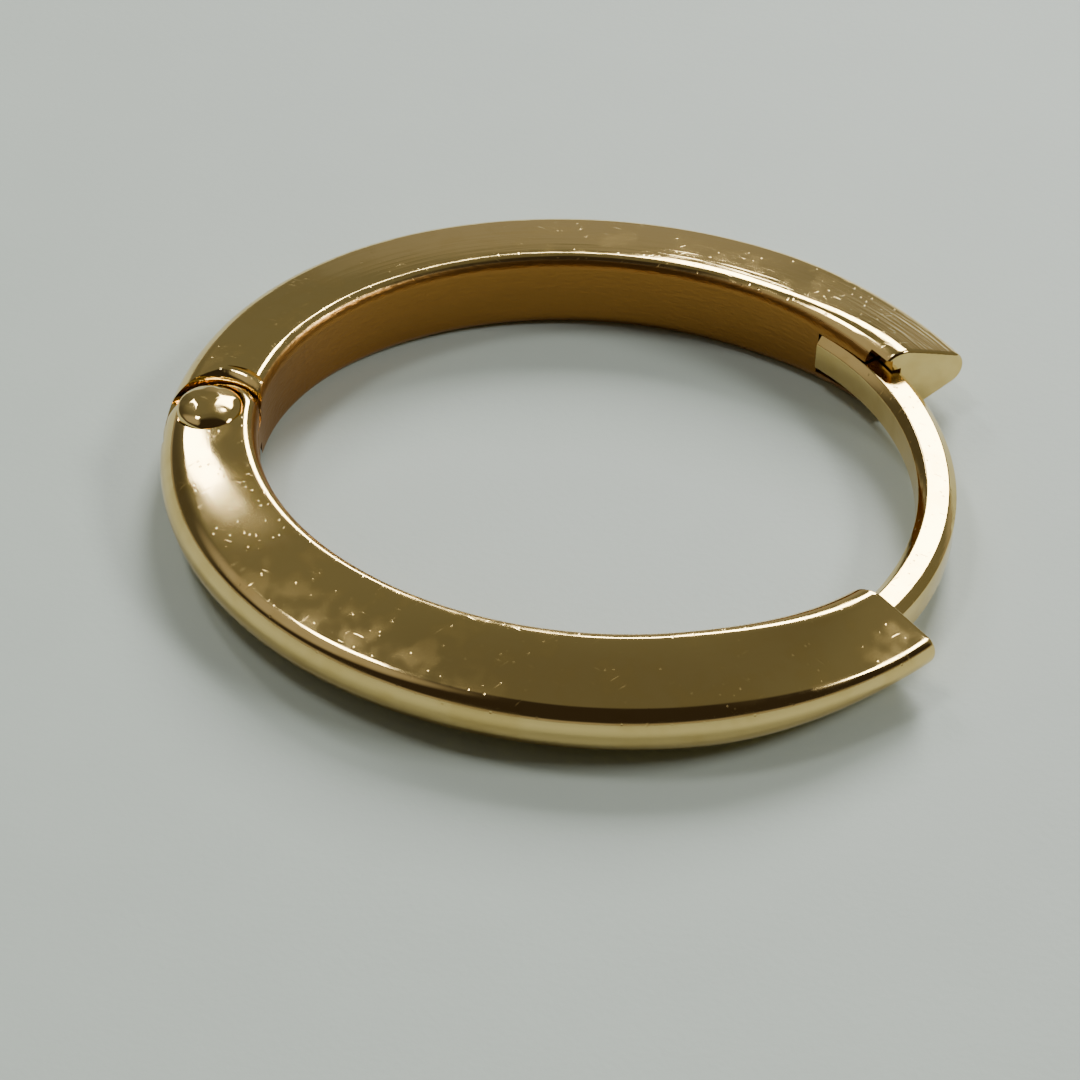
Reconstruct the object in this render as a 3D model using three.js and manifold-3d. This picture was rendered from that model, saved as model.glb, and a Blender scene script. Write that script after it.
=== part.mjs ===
import * as THREE from 'three';
import Module from 'manifold-3d';
import { mergeVertices } from 'three/addons/utils/BufferGeometryUtils.js';

// One oval hinged hoop earring, closed and lying on its side.
// Millimetres, +Z up. The hinge is towards -X, the post towards +X.

// The oval that the two halves enclose
const opening_length = 14.0;
const opening_width = 11.2;

// Section of both halves: a flat inner wall, sloping sides and a rounded nose
const wall_height = 1.86;
const wall_depth = 2.12;
const rim_radius = 0.32;
const rim_land = 0.12;
const shoulder_radius = 0.33;
const nose_radius = 0.82;
const nose_half_angle = 31;

// The section is shallower at the hinge and the front end, and its nose is sharper at both ends
const hinge_narrowing = 0.1;
const front_end_narrowing = 0.16;
const hinge_blend_angle = 60;
const end_nose_radius = 0.5;
const end_blend_angle = 32;

// Where each half ends: place on the oval, and direction of the flat cut, in degrees
const back_end_angle = 35.9;
const back_cut_angle = 34;
const front_end_angle = 38.2;
const front_cut_angle = 25;

// Hinge: how far past the oval's end it lies, and its knuckle and pin
const hinge_angle = 2.2;
const tongue_height = 0.62;
const running_gap = 0.05;
const side_gap = 0.04;
const seat_bevel = 0.2;
const open_angle = 50;
const pin_radius = 0.3;
const pin_fit = 0.02;
const head_radius = 0.6;
const head_rise = 0.26;
const head_sink = 0.2;
const head_brim = 0.12;
const foot_radius = 0.48;
const foot_thickness = 0.22;
const foot_recess = 0.04;

// Post: a curved strip soldered into the back half's slot. It bows out past the oval's end by its offset, its
// bow's middle is shifted towards the front half, and its ends lie at shares of the oval's half width
const post_width = 0.8;
const post_height = 0.98;
const post_chamfer = 0.17;
const post_bow_radius = 6.1;
const post_offset = 0.11;
const post_shift = 0.36;
const post_drop = 0.03;
const post_root_share = 0.828;
const post_tip_share = 0.861;
const post_taper_length = 0.45;
const post_taper_share = 0.55;
const post_shoulder_share = 0.78;
const post_shoulder_place = 0.3;
const slot_gap = 0.05;
const slot_end_gap = 0.2;
const solder_depth = 0.06;
const mouth_rise = 0.28;
const mouth_length = 0.5;
const mouth_depth = 0.3;

// Fineness of the faceted surfaces
const bar_steps = 30;
const end_steps = 10;
const post_steps = 22;
const round_sides = 24;
const arc_steps = 3;
const merge_distance = 1e-4;

const gold_color = 0xc9a24a;
const gold_roughness = 0.16;
const degree = Math.PI / 180;

// Cutting shapes reach well past what they cut
const beyond_wall = 2 * wall_height;
const beyond_depth = 2 * wall_depth;
const beyond_end = 16 * degree;

const middle = wall_height / 2;

const wasm = await Module();
wasm.setup();

// A closed solid from a geometry whose shared corners are merged
function solidOf(geometry) {
  const merged = geometry.clone();
  merged.deleteAttribute('normal');
  merged.deleteAttribute('uv');
  const joined = mergeVertices(merged, merge_distance);
  const triVerts = new Uint32Array(joined.index.array);
  const vertProperties = new Float32Array(joined.attributes.position.array);
  return new wasm.Manifold(new wasm.Mesh({ numProp: 3, vertProperties, triVerts }));
}

function geometryOf(solid) {
  const mesh = solid.getMesh();
  const geometry = new THREE.BufferGeometry();
  geometry.setAttribute('position', new THREE.BufferAttribute(new Float32Array(mesh.vertProperties), 3));
  geometry.setIndex(new THREE.BufferAttribute(new Uint32Array(mesh.triVerts), 1));
  geometry.computeVertexNormals();
  return geometry;
}

// A geometry from corners and triangles, turned so that its faces point out
function shellOf(corners, triangles) {
  let volume = 0;
  const cross = new THREE.Vector3();
  for (const [i, j, k] of triangles) {
    volume += corners[i].dot(cross.crossVectors(corners[j], corners[k]));
  }
  const order = volume < 0 ? triangles.map(([i, j, k]) => [i, k, j]) : triangles;
  const geometry = new THREE.BufferGeometry().setFromPoints(corners);
  geometry.setIndex(order.flat());
  return geometry;
}

// Point at a distance out from the inner wall, at an angle of the oval
function ovalPoint(angle, depth, height) {
  const c = Math.cos(angle);
  const s = Math.sin(angle);
  const out = new THREE.Vector2(c / opening_length, s / opening_width).normalize();
  const x = opening_length / 2 * c + depth * out.x;
  const y = opening_width / 2 * s + depth * out.y;
  return new THREE.Vector3(x, y, height);
}

// Eases from 0 to 1 as a share grows from 0 to 1
function eased(share) {
  return THREE.MathUtils.smoothstep(share, 0, 1);
}

// Depth and nose of the section at an angle of the oval
function sectionSizes(angle) {
  const turn = angle / degree;
  const from_hinge = Math.abs(turn - 180);
  const end = turn > 180 ? front_end_angle : back_end_angle;
  const hinge_share = eased(1 - from_hinge / hinge_blend_angle);
  const end_share = eased(1 - (180 - end - from_hinge) / end_blend_angle);
  const end_narrowing = turn > 180 ? front_end_narrowing : 0;
  const depth = wall_depth - hinge_narrowing * hinge_share - end_narrowing * end_share;
  const nose = nose_radius + (end_nose_radius - nose_radius) * end_share;
  return { depth, nose };
}

// The slope of a side is the line from the rim's land that just touches the shoulder's arc
function sideSlope({ depth, nose }) {
  const reach = nose - shoulder_radius;
  const x = depth - nose + reach * Math.cos(nose_half_angle * degree);
  const z = wall_height / 2 + reach * Math.sin(nose_half_angle * degree);
  const start = rim_radius + rim_land;
  const fall = Math.atan2(wall_height - z, x - start);
  const slope = fall - Math.asin(shoulder_radius / Math.hypot(x - start, wall_height - z));
  return { slope, shoulder: new THREE.Vector2(x, z) };
}

// Height of the upper side at a distance out from the inner wall
function sideHeight(sizes, distance) {
  return wall_height - (distance - rim_radius - rim_land) * Math.tan(sideSlope(sizes).slope);
}

function arcPoints(center, radius, from, to, steps) {
  const points = [];
  for (let i = 0; i <= steps; i++) {
    const angle = from + (to - from) * i / steps;
    points.push(new THREE.Vector2(center.x + radius * Math.cos(angle), center.y + radius * Math.sin(angle)));
  }
  return points;
}

// Upper quarter of the section on the inner side, from its middle out to half height
function innerQuarter(sizes) {
  const axis = sizes.depth / 2;
  const rim = new THREE.Vector2(rim_radius, wall_height - rim_radius);
  const landed = new THREE.Vector2(rim_radius + rim_land, wall_height);
  const start = new THREE.Vector2(axis, sideHeight(sizes, axis));
  const corner = arcPoints(rim, rim_radius, Math.PI / 2, Math.PI, arc_steps);
  return [start, start.clone().lerp(landed, 0.5), landed, ...corner, new THREE.Vector2(0, wall_height / 2)];
}

// Upper quarter on the outer side, with as many points as the inner one
function outerQuarter(sizes) {
  const axis = sizes.depth / 2;
  const { slope, shoulder } = sideSlope(sizes);
  const turn = nose_half_angle * degree;
  const start = new THREE.Vector2(axis, sideHeight(sizes, axis));
  const round = arcPoints(shoulder, shoulder_radius, Math.PI / 2 - slope, turn, 2);
  const nose = arcPoints(new THREE.Vector2(sizes.depth - sizes.nose, wall_height / 2), sizes.nose, turn, 0, arc_steps);
  return [start, start.clone().lerp(round[0], 0.5), ...round, ...nose.slice(1)];
}

// A quarter and its mirror image below make one side, from top to bottom
function fullSide(quarter) {
  const below = quarter.slice(0, -1).reverse();
  return [...quarter, ...below.map((p) => new THREE.Vector2(p.x, wall_height - p.y))];
}

function sectionAt(angle) {
  const sizes = sectionSizes(angle);
  return [...fullSide(innerQuarter(sizes)), ...fullSide(outerQuarter(sizes)).slice(1, -1).reverse()];
}

const hinge_turn = (180 + hinge_angle) * degree;
const hinge_sizes = sectionSizes(hinge_turn);
const knuckle_radius = hinge_sizes.depth / 2;
const pin_place = ovalPoint(hinge_turn, knuckle_radius, 0);
const hinge_top = sideHeight(hinge_sizes, knuckle_radius);
const inner_side = fullSide(innerQuarter(hinge_sizes));
const outer_side = fullSide(outerQuarter(hinge_sizes));

// Corners of the rounded end: each step turns about the pin, blending inner side into outer side
function roundedEnd(forward) {
  const start = ovalPoint(hinge_turn, 0, 0);
  const inward = start.clone().sub(pin_place).normalize();
  const rows = [];
  for (let j = 1; j < end_steps; j++) {
    const turn = Math.PI * j / end_steps;
    const share = (1 - Math.cos(turn)) / 2;
    const way = inward.clone().multiplyScalar(Math.cos(turn)).addScaledVector(forward, Math.sin(turn));
    rows.push(inner_side.slice(1, -1).map((p, i) => {
      const q = outer_side[i + 1];
      const reach = (1 - share) * (knuckle_radius - p.x) + share * (q.x - knuckle_radius);
      const height = (1 - share) * p.y + share * q.y;
      return pin_place.clone().addScaledVector(way, reach).setZ(height);
    }));
  }
  return rows;
}

// A half of the hoop: the section carried along the oval, with a rounded end about the pin
function barGeometry(from, to) {
  const count = 2 * inner_side.length - 2;
  const corners = [];
  for (let i = 0; i <= bar_steps; i++) {
    const angle = from + (to - from) * i / bar_steps;
    sectionAt(angle).forEach((p) => corners.push(ovalPoint(angle, p.x, p.y)));
  }
  const triangles = [];
  for (let i = 0; i < bar_steps; i++) {
    for (let k = 0; k < count; k++) {
      const a = i * count + k;
      const b = i * count + (k + 1) % count;
      triangles.push([a, b, b + count], [a, b + count, a + count]);
    }
  }
  for (let k = 1; k < count - 1; k++) {
    const last = bar_steps * count;
    triangles.push([last, last + k, last + k + 1]);
  }
  const forward = ovalPoint(from, 0, 0).sub(ovalPoint(from + (to - from) * 1e-3, 0, 0)).normalize();
  const rows = roundedEnd(forward);
  const first = corners.length;
  rows.forEach((row) => corners.push(...row));
  const inside = inner_side.length - 2;
  const innerEdge = Array.from({ length: inside }, (_, k) => k + 1);
  const outerEdge = Array.from({ length: inside }, (_, k) => count - 1 - k);
  const bands = [innerEdge, ...rows.map((_, j) => innerEdge.map((k) => first + j * inside + k - 1)), outerEdge];
  const foot = inner_side.length - 1;
  for (let j = 0; j < bands.length - 1; j++) {
    const a = bands[j];
    const b = bands[j + 1];
    triangles.push([0, b[0], a[0]], [foot, a[inside - 1], b[inside - 1]]);
    for (let k = 0; k < inside - 1; k++) {
      triangles.push([a[k], b[k], b[k + 1]], [a[k], b[k + 1], a[k + 1]]);
    }
  }
  return shellOf(corners, triangles);
}

// A prism over an outline in plan, between two heights
function prism(outline, low, high) {
  const shape = new THREE.Shape(outline);
  return new THREE.ExtrudeGeometry(shape, { depth: high - low, bevelEnabled: false, steps: 1 }).translate(0, 0, low);
}

// A solid through a stack of outlines in plan, each at its own height
function stack(outlines, heights) {
  const count = outlines[0].length;
  const corners = outlines.flatMap((outline, i) => outline.map((p) => new THREE.Vector3(p.x, p.y, heights[i])));
  const triangles = THREE.ShapeUtils.triangulateShape(outlines[0], []).map(([i, j, k]) => [i, k, j]);
  const top = (outlines.length - 1) * count;
  triangles.push(...triangles.map(([i, j, k]) => [top + i, top + k, top + j]));
  const turn = THREE.ShapeUtils.isClockWise(outlines[0]) ? 1 : -1;
  for (let i = 0; i < top; i += count) {
    for (let k = 0; k < count; k++) {
      const next = (k + 1) % count;
      const [a, b] = turn > 0 ? [i + next, i + k] : [i + k, i + next];
      triangles.push([a, b, b + count], [a, b + count, a + count]);
    }
  }
  return shellOf(corners, triangles);
}

// A solid turned about the pin's axis
function turned(profile) {
  const points = profile.map(([radius, height]) => new THREE.Vector2(radius, height));
  return new THREE.LatheGeometry(points, round_sides).rotateX(Math.PI / 2).translate(pin_place.x, pin_place.y, 0);
}

// The side of a flat end cut that is taken away
function endCut(end_angle, cut_angle, side) {
  const corner = ovalPoint(side * end_angle * degree, 0, 0);
  const cut = new THREE.BoxGeometry(2 * beyond_depth, beyond_depth, beyond_wall);
  cut.translate(0, -side * beyond_depth / 2, middle);
  cut.rotateZ(side * cut_angle * degree);
  return solidOf(cut.translate(corner.x, corner.y, 0));
}

// Plan of all that the other half's bar sweeps as the hinge opens, about the pin
function sweptOutline(radius, first, last, reach) {
  const center = new THREE.Vector2(pin_place.x, pin_place.y);
  const arc = arcPoints(center, radius, first, last, end_steps);
  const side = Math.sign(last - first);
  const before = new THREE.Vector2(Math.sin(first), -Math.cos(first)).multiplyScalar(side * reach).add(arc[0]);
  const after = new THREE.Vector2(-Math.sin(last), Math.cos(last)).multiplyScalar(side * reach);
  return [before, ...arc, after.add(arc[arc.length - 1])];
}

const seat_radius = knuckle_radius + running_gap;
const axis_tilt = hinge_turn - Math.PI;

// The front half's slot, which the back half's tongue turns in
function tongueSlot() {
  const half = tongue_height / 2 + side_gap;
  const first = Math.PI + open_angle * degree + axis_tilt;
  const outline = sweptOutline(seat_radius, first, 2 * Math.PI + axis_tilt, beyond_depth);
  return solidOf(prism(outline, middle - half, middle + half));
}

// What the front half's cheek turns in, over the back half's tongue, with a rounded lip
function cheekSeat() {
  const low = middle + tongue_height / 2;
  const lip = new THREE.Vector2(seat_radius + seat_bevel, hinge_top - seat_bevel);
  const round = arcPoints(lip, seat_bevel, Math.PI, Math.PI / 2, arc_steps);
  const first = Math.PI - open_angle * degree + axis_tilt;
  const levels = [new THREE.Vector2(seat_radius, low), ...round, new THREE.Vector2(lip.x, beyond_wall)];
  const outlines = levels.map((level) => sweptOutline(level.x, first, axis_tilt, beyond_depth));
  return solidOf(stack(outlines, levels.map((level) => level.y)));
}

// The same solid below the middle of the wall
function mirroredBelow(solid) {
  return solid.mirror([0, 0, 1]).translate([0, 0, wall_height]);
}

const post_middle = middle - post_drop;
const bow_center = new THREE.Vector2(opening_length / 2 + post_offset - post_bow_radius, -post_shift);
const post_root = Math.asin((post_root_share * opening_width / 2 + post_shift) / post_bow_radius);
const post_tip = -Math.asin((post_tip_share * opening_width / 2 - post_shift) / post_bow_radius);

function postPoint(angle, radius, height) {
  return new THREE.Vector3(bow_center.x + radius * Math.cos(angle), bow_center.y + radius * Math.sin(angle), height);
}

// A slot along the post's arc, open to the inside of the hoop
function postSlot(outer_radius, first, last, rise) {
  const half = post_height / 2 + slot_gap;
  const outer = arcPoints(bow_center, outer_radius, first, last, post_steps);
  const inner = arcPoints(bow_center, outer_radius - beyond_depth, last, first, arc_steps);
  return solidOf(prism([...outer, ...inner], post_middle - half, post_middle + half + rise));
}

// The post: a chamfered strip along an arc, narrowed at its free tip
function postGeometry() {
  const w = post_width / 2;
  const h = post_height / 2;
  const c = post_chamfer;
  const ring = [[w, h - c], [w - c, h], [c - w, h], [-w, h - c], [-w, c - h], [c - w, -h], [w - c, -h], [w, c - h]];
  const taper = post_taper_length / post_bow_radius;
  const stations = [];
  for (let i = 0; i <= post_steps; i++) {
    stations.push({ angle: post_root + (post_tip + taper - post_root) * i / post_steps, share: 1 });
  }
  stations.push({ angle: post_tip + taper * post_shoulder_place, share: post_shoulder_share });
  stations.push({ angle: post_tip, share: post_taper_share });
  const corners = [];
  for (const { angle, share } of stations) {
    ring.forEach(([x, z]) => corners.push(postPoint(angle, post_bow_radius + share * x, post_middle + share * z)));
  }
  const count = ring.length;
  const last = (stations.length - 1) * count;
  const triangles = [];
  for (let i = 0; i < last; i += count) {
    for (let k = 0; k < count; k++) {
      const next = (k + 1) % count;
      triangles.push([i + k, i + next, i + next + count], [i + k, i + next + count, i + k + count]);
    }
  }
  for (let k = 1; k < count - 1; k++) {
    triangles.push([0, k + 1, k], [last, last + k, last + k + 1]);
  }
  return shellOf(corners, triangles);
}

const head_seat = hinge_top - head_sink;
const foot_top = foot_recess + foot_thickness;

function pinBore() {
  const radius = pin_radius + pin_fit;
  return solidOf(turned([[0, -beyond_wall], [radius, -beyond_wall], [radius, beyond_wall], [0, beyond_wall]]));
}

// Recess under the pin's head and over its foot
function headRecess() {
  const radius = head_radius + pin_fit;
  const low = head_seat - pin_fit;
  return solidOf(turned([[0, low], [radius, low], [radius, beyond_wall], [0, beyond_wall]]));
}

function footRecess() {
  const radius = foot_radius + pin_fit;
  const high = foot_top + pin_fit;
  return solidOf(turned([[0, -beyond_wall], [radius, -beyond_wall], [radius, high], [0, high]]));
}

// Front half: cheeks about the tongue at the hinge, a slot for the post's tip at the other end
function frontHalf() {
  const end = (360 - front_end_angle) * degree + beyond_end;
  const bar = solidOf(barGeometry(hinge_turn, end));
  const tip = post_tip - slot_end_gap / post_bow_radius;
  const outer = post_bow_radius + post_width / 2 + slot_gap;
  const slot = postSlot(outer, tip, tip + 2 * beyond_end, 0);
  const cut = bar.subtract(endCut(front_end_angle, front_cut_angle, -1)).subtract(slot);
  return cut.subtract(tongueSlot()).subtract(pinBore()).subtract(headRecess()).subtract(footRecess());
}

// The back half's slot rises where the post leaves it
function slotMouth() {
  const corner = ovalPoint(back_end_angle * degree, 0, 0);
  const from_bow = new THREE.Vector2(corner.x, corner.y).sub(bow_center);
  const end = from_bow.angle();
  const inner = from_bow.length();
  return postSlot(inner + mouth_depth, end + mouth_length / inner, end - beyond_end, mouth_rise);
}

// Back half: tongue and rounded seat at the hinge, and the post soldered in at the other end
function backHalf() {
  const bar = solidOf(barGeometry(hinge_turn, back_end_angle * degree - beyond_end));
  const outer = post_bow_radius + post_width / 2 - solder_depth;
  const root = post_root + slot_gap / post_bow_radius;
  const slot = postSlot(outer, root, root - 2.5 * beyond_end, 0);
  const seat = cheekSeat();
  const cut = bar.subtract(endCut(back_end_angle, back_cut_angle, 1)).subtract(slot).subtract(slotMouth());
  return cut.subtract(seat).subtract(mirroredBelow(seat)).subtract(pinBore()).add(solidOf(postGeometry()));
}

// Hinge pin: domed head on top, flat foot below, both riveted into the front half's cheeks
function hingePin() {
  const head_top = hinge_top + head_rise;
  const brim = head_seat + head_brim;
  const dome = [];
  for (let i = 0; i <= 2 * arc_steps; i++) {
    const turn = Math.PI / 2 * i / (2 * arc_steps);
    dome.push([head_radius * Math.cos(turn), brim + (head_top - brim) * Math.sin(turn)]);
  }
  dome[dome.length - 1][0] = 0;
  const shank = [[0, foot_recess], [foot_radius, foot_recess], [foot_radius, foot_top], [pin_radius, foot_top]];
  return turned([...shank, [pin_radius, head_seat], [head_radius, head_seat], ...dome]);
}

function named(name, geometry) {
  const gold = new THREE.MeshStandardMaterial({ color: gold_color, metalness: 1, roughness: gold_roughness });
  const mesh = new THREE.Mesh(geometry, gold);
  mesh.name = name;
  return mesh;
}

const earring = new THREE.Group();
earring.add(named('back_half', geometryOf(backHalf())));
earring.add(named('front_half', geometryOf(frontHalf())));
earring.add(named('hinge_pin', geometryOf(solidOf(hingePin()))));

// The origin is under the middle of the whole earring, on the surface that it lies on
const box = new THREE.Box3().setFromObject(earring);
const center = box.getCenter(new THREE.Vector3());
earring.position.set(-center.x, -center.y, -box.min.z);

export default earring;
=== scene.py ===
"""One oval hinged hoop earring in polished yellow gold, closed and lying on its side on a pale table.

The two halves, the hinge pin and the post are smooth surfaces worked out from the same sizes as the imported
solids that they stand for. Sizes below are in millimetres, and meshes are in metres.
"""

import math

import bmesh
import bpy
import numpy as np
from bpy.props import FloatProperty, FloatVectorProperty, PointerProperty
from mathutils import Matrix, Vector


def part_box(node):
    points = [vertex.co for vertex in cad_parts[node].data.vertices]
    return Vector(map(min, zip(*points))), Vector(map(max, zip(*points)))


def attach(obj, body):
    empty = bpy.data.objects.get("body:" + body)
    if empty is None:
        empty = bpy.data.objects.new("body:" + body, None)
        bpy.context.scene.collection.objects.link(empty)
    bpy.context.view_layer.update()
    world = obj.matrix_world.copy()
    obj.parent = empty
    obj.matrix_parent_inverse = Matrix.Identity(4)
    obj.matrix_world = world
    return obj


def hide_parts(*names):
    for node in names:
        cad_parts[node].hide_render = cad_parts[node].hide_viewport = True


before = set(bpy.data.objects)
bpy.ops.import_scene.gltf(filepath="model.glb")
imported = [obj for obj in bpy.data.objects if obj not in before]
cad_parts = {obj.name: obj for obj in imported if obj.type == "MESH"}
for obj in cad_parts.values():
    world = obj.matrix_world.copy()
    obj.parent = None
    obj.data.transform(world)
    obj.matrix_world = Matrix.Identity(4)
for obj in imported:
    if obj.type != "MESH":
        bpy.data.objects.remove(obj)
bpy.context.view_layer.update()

bl_info = {
    "name": "Hinged hoop earring",
    "version": (1, 0, 0),
    "blender": (4, 5, 0),
    "location": "View3D > Sidebar > Earring",
    "description": "An oval hinged hoop earring in polished gold, with a pale table and soft light",
    "category": "Add Mesh",
}

# A millimetre and a micrometre in metres
MM, MICRON = 1e-3, 1e-6

# Degrees of the oval over which the section changes towards the hinge and towards a free end
HINGE_BLEND, END_BLEND = 60.0, 32.0
# Where each half's inner corner lies on the oval, and which way its end is cut, in degrees
BACK_END, BACK_CUT = 35.9, 34.0
FRONT_END, FRONT_CUT = 38.2, 25.0
# Half the angle of the nose's arc, and how far past a free end whatever finds or cuts it reaches
NOSE_HALF_ANGLE = math.radians(31.0)
BEYOND_END = math.radians(16.0)
# How far each slot runs on from the post's end in it, turned about the centre of the post's bow
FRONT_SLOT_RUN, BACK_SLOT_RUN = 2 * BEYOND_END, 2.5 * BEYOND_END

# Where the post's ends lie, as shares of half the oval's width
POST_ROOT_SHARE, POST_TIP_SHARE = 0.828, 0.861
# Length of the drawn-in tip in millimetres, and the share of the section that is left at its end
POST_TAPER, POST_TIP_SIZE = 0.45, 0.55

# Fineness of the surfaces
QUARTER_POINTS = 46
BAR_STATIONS = 300
EDGE_RINGS = 6
END_ROWS = 96
HALVINGS = 40
LATHE_SIDES = 128
DOME_STEPS = 28
SEAT_STEPS = 90
LIP_STEPS = 10
SLOT_BACK_STEPS = 8
POST_STATIONS = 140
TIP_RINGS = 14
CORNER_STEPS = 5
CREASE_ANGLE = math.radians(30.0)

# Cutting shapes reach past what they cut, some by far and some just clear of it
BEYOND = 5.0
CLEAR = 1.0


def linear(hex_color):
    """The linear colour of an sRGB hex value, with full alpha."""
    parts = [int(hex_color[i : i + 2], 16) / 255 for i in (1, 3, 5)]
    return [c / 12.92 if c <= 0.04045 else ((c + 0.055) / 1.055) ** 2.4 for c in parts] + [1.0]


def size(name, default, description):
    """A length in millimetres as a property."""
    description += ", in millimetres"
    return FloatProperty(name=name, default=default, min=0.0, precision=3, description=description)


def angle_size(name, degrees, description):
    """An angle as a property, kept in radians."""
    return FloatProperty(
        name=name, default=math.radians(degrees), subtype="ANGLE", unit="ROTATION", description=description
    )


def crowning(name, default, description):
    """How much the sides are crowned, as a property."""
    description += ", as a share per square millimetre"
    return FloatProperty(name=name, default=default, min=0.0, description=description)


def fineness(name, default, description):
    """A roughness from 0 to 1 as a property."""
    return FloatProperty(name=name, default=default, min=0.0, max=1.0, description=description)


def tint(name, hex_color, description):
    """A colour as a property, given as an sRGB hex value."""
    return FloatVectorProperty(
        name=name, subtype="COLOR", size=4, min=0.0, max=1.0, default=linear(hex_color), description=description
    )


class HoopSizes(bpy.types.PropertyGroup):
    """Sizes of the oval and of the section that both halves share."""

    opening_length: size("Opening length", 14.0, "Length of the oval that the halves enclose")
    opening_width: size("Opening width", 11.2, "Width of the oval that the halves enclose")
    wall_height: size("Wall height", 1.86, "Height of the flat inner wall")
    wall_depth: size("Wall depth", 2.115, "Distance from the inner wall to the nose")
    rim_radius: size("Rim radius", 0.25, "Rounding between the inner wall and a side")
    shoulder_radius: size("Shoulder radius", 0.33, "Rounding between a side and the outer band")
    hinge_shoulder: size("Hinge shoulder", 0.3, "How much larger that rounding is at the hinge")
    nose_radius: size("Nose radius", 0.82, "Roundness of the outer band")
    end_nose_radius: size("End nose radius", 0.5, "Roundness of the outer band at the post's ends")
    end_rim: size("End rim", 0.26, "How much larger the rim's rounding is at the post's ends")
    crown: crowning("Crown", 0.05, "How much the sides are crowned")
    hinge_crown: crowning("Hinge crown", 0.06, "How much more the sides are crowned at the hinge")
    hinge_narrowing: size("Hinge narrowing", 0.109, "How much shallower the section is at the hinge")
    front_end_narrowing: size("Front end narrowing", 0.16, "How much shallower the front half's free end is")
    edge_radius: size("Edge radius", 0.07, "Rounding of the cut ends")


class HingeSizes(bpy.types.PropertyGroup):
    """Sizes of the knuckle, its seat and the riveted pin."""

    hinge_angle: angle_size("Hinge angle", 2.2, "How far past the oval's end the hinge lies")
    tongue_height: size("Tongue height", 0.62, "Height of the back half's tongue")
    running_gap: size("Running gap", 0.05, "Gap between the knuckle and its seat")
    side_gap: size("Side gap", 0.04, "Gap between the tongue and each cheek")
    seat_bevel: size("Seat bevel", 0.26, "Rounding of the seat's lip")
    open_angle: angle_size("Open angle", 50.0, "How far the hinge opens")
    pin_radius: size("Pin radius", 0.3, "Radius of the pin's shank")
    pin_fit: size("Pin fit", 0.02, "Gap round the pin")
    head_radius: size("Head radius", 0.69, "Radius of the pin's domed head")
    head_rise: size("Head rise", 0.172, "Height of the dome above the knuckle")
    head_sink: size("Head sink", 0.2, "How deep the head sits in the knuckle")
    head_brim: size("Head brim", 0.12, "Height of the head's straight edge")
    foot_radius: size("Foot radius", 0.48, "Radius of the pin's flat foot")
    foot_thickness: size("Foot thickness", 0.22, "Thickness of the pin's foot")
    foot_recess: size("Foot recess", 0.04, "How far the foot lies inside the lower cheek")


class PostSizes(bpy.types.PropertyGroup):
    """Sizes of the curved strip that closes the hoop."""

    width: size("Width", 0.8, "Width of the strip")
    height: size("Height", 0.98, "Height of the strip")
    chamfer: size("Chamfer", 0.17, "Chamfer of its four long edges")
    corner_radius: size("Corner radius", 0.05, "Rounding of each chamfer's edges")
    bow_radius: size("Bow radius", 6.1, "Radius of its bow")
    offset: size("Offset", 0.106, "How far its middle bows out past the oval's end")
    shift: size("Shift", 0.36, "How far its bow is shifted towards the front half")
    drop: size("Drop", 0.03, "How far it lies below the middle of the wall")
    slot_gap: size("Slot gap", 0.05, "Gap between the strip and its slots")
    slot_end_gap: size("Slot end gap", 0.2, "Room past the strip's tip")
    solder_depth: size("Solder depth", 0.06, "How far the strip is sunk into the back half")
    mouth_rise: size("Mouth rise", 0.28, "How much higher the slot's mouth is")
    mouth_length: size("Mouth length", 0.5, "Length of the slot's mouth")
    mouth_depth: size("Mouth depth", 0.3, "Depth of the slot's mouth")


class GoldLook(bpy.types.PropertyGroup):
    """Colours and polish of the gold; the wall's colour is painted shade."""

    color: tint("Colour", "#EED08A", "Colour of polished gold")
    # The wall's colour is painted shade: darker and redder than the gold, standing in for the shade and the
    # gold's own reflections inside the hoop
    wall_shade_color: tint("Wall colour", "#A5763A", "Colour of the satin wall")
    polish: fineness("Polish", 0.06, "Roughness of the best polished places")
    wear: fineness("Wear", 0.13, "Roughness of the most worn places")
    satin: fineness("Satin", 0.36, "Roughness of the satin wall")


class StageLook(bpy.types.PropertyGroup):
    """Colour of the table."""

    table: tint("Table", "#BAC5BB", "Colour of the table")


# Shapes


def eased(share):
    """Smoothly from 0 to 1 as the share goes from 0 to 1: 3 x squared minus 2 x cubed."""
    x = np.clip(share, 0.0, 1.0)
    return x * x * (3.0 - 2.0 * x)


def normal(angle):
    """Unit vectors at angles, as two arrays."""
    return np.cos(angle), np.sin(angle)


def section_sizes(hoop, angle):
    """Depth, the nose's, shoulder's and rim's radii, and the crown of the section at angles of the oval.

    The depth loses the hinge narrowing and the front end narrowing, the nose radius goes to its end value,
    the shoulder radius and the crown grow towards the hinge and the rim radius towards the end, each eased
    over its own degrees.
    """
    turn = np.degrees(angle)
    from_hinge = np.abs(turn - 180.0)
    front = turn > 180.0
    end = np.where(front, FRONT_END, BACK_END)
    hinge_share = eased(1.0 - from_hinge / HINGE_BLEND)
    end_share = eased(1.0 - (180.0 - end - from_hinge) / END_BLEND)
    depth = hoop.wall_depth - hoop.hinge_narrowing * hinge_share
    depth = depth - np.where(front, hoop.front_end_narrowing, 0.0) * end_share
    nose = hoop.nose_radius + (hoop.end_nose_radius - hoop.nose_radius) * end_share
    shoulder = hoop.shoulder_radius + hoop.hinge_shoulder * hinge_share
    rim = hoop.rim_radius + hoop.end_rim * end_share
    return depth, nose, shoulder, rim, hoop.crown + hoop.hinge_crown * hinge_share


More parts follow.
